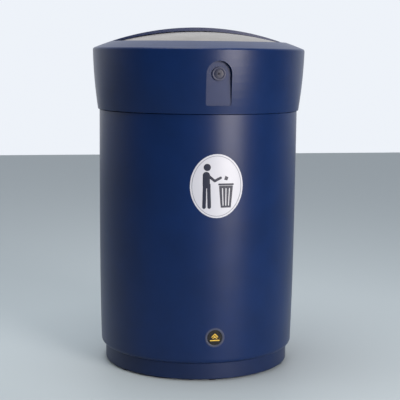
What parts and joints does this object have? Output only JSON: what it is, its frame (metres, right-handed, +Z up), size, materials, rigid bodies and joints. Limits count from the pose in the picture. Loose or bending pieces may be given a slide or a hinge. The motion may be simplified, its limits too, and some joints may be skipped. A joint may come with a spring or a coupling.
{
  "type": "round litter bin",
  "caption": "Free-standing round litter bin with a flared domed hood on a rear hinge, a key lock, a sprung flap in the mouth and a lift-out liner with hand slots.",
  "frame": {"origin": "centre of the footprint, on the floor, under the axis of the round body", "axes": "+Z is up, the front with the lock and the label faces -Y, and +X is on the right of a viewer who faces the front"},
  "size_m": [0.5646, 0.5646, 0.898],
  "materials": {
    "shell": "semi-gloss moulded plastic",
    "plinth": "matt moulded plastic",
    "deck": "matt moulded plastic",
    "ballast": "raw casting",
    "zinc_steel": "zinc plated",
    "bright_steel": "bright drawn",
    "stainless": "polished",
    "galvanised": "galvanised",
    "rubber": "matt",
    "label": "printed vinyl",
    "badge_rim": "satin",
    "badge_face": "gloss",
    "lock_metal": "satin",
    "nylon": "natural nylon"
  },
  "bodies": {
    "body": {"body_shell": "shell", "base_plinth": "plinth", "base_deck": "deck", "ballast_plate": "ballast", "base_bolts": "zinc_steel", "base_washers": "zinc_steel", "base_nuts": "zinc_steel", "rubber_glides": "rubber", "hood_buffers": "rubber", "keeper_bracket": "zinc_steel", "keeper_screws": "bright_steel", "hinge_body_leaf": "zinc_steel", "hinge_pin": "bright_steel", "body_hinge_screws": "bright_steel", "oval_label": "label", "badge_bezel": "badge_rim", "badge_disc": "badge_face"},
    "hood": {"hood_shell": "shell", "hinge_hood_leaf": "zinc_steel", "hood_hinge_screws": "bright_steel", "lock_housing": "lock_metal", "lock_nut": "zinc_steel", "flap_bracket_left": "zinc_steel", "flap_bracket_right": "zinc_steel", "flap_bracket_screws": "bright_steel", "flap_bushes": "nylon", "flap_seal": "rubber", "flap_springs": "bright_steel"},
    "lock": {"lock_plug": "lock_metal", "lock_cam": "zinc_steel", "cam_screw": "bright_steel"},
    "flap": {"flap_panel": "stainless", "flap_arms": "zinc_steel", "flap_rod": "bright_steel", "rod_clips": "bright_steel"},
    "liner": {"liner_wall": "galvanised", "liner_bottom": "galvanised", "liner_grips": "rubber"}
  },
  "joints": [
    {"name": "hood_hinge", "type": "hinge", "parent": "body", "child": "hood", "pos_m": [0, 0.2755, 0.68075], "axis": [-1, 0, 0], "range_deg": [0, 100]},
    {"name": "lock_turn", "type": "hinge", "parent": "hood", "child": "lock", "pos_m": [0, -0.264, 0.78], "axis": [0, -1, 0], "range_deg": [0, 90]},
    {"name": "flap_swing", "type": "hinge", "parent": "hood", "child": "flap", "pos_m": [0, 0.001, 0.83], "axis": [1, 0, 0], "range_deg": [0, 45], "stiffness_Nm_per_rad": 1.2, "springref_deg": -126.05},
    {"name": "liner_lift", "type": "slide", "parent": "body", "child": "liner", "axis": [0, 0, 1], "range_m": [0, 0.03]}
  ]
}
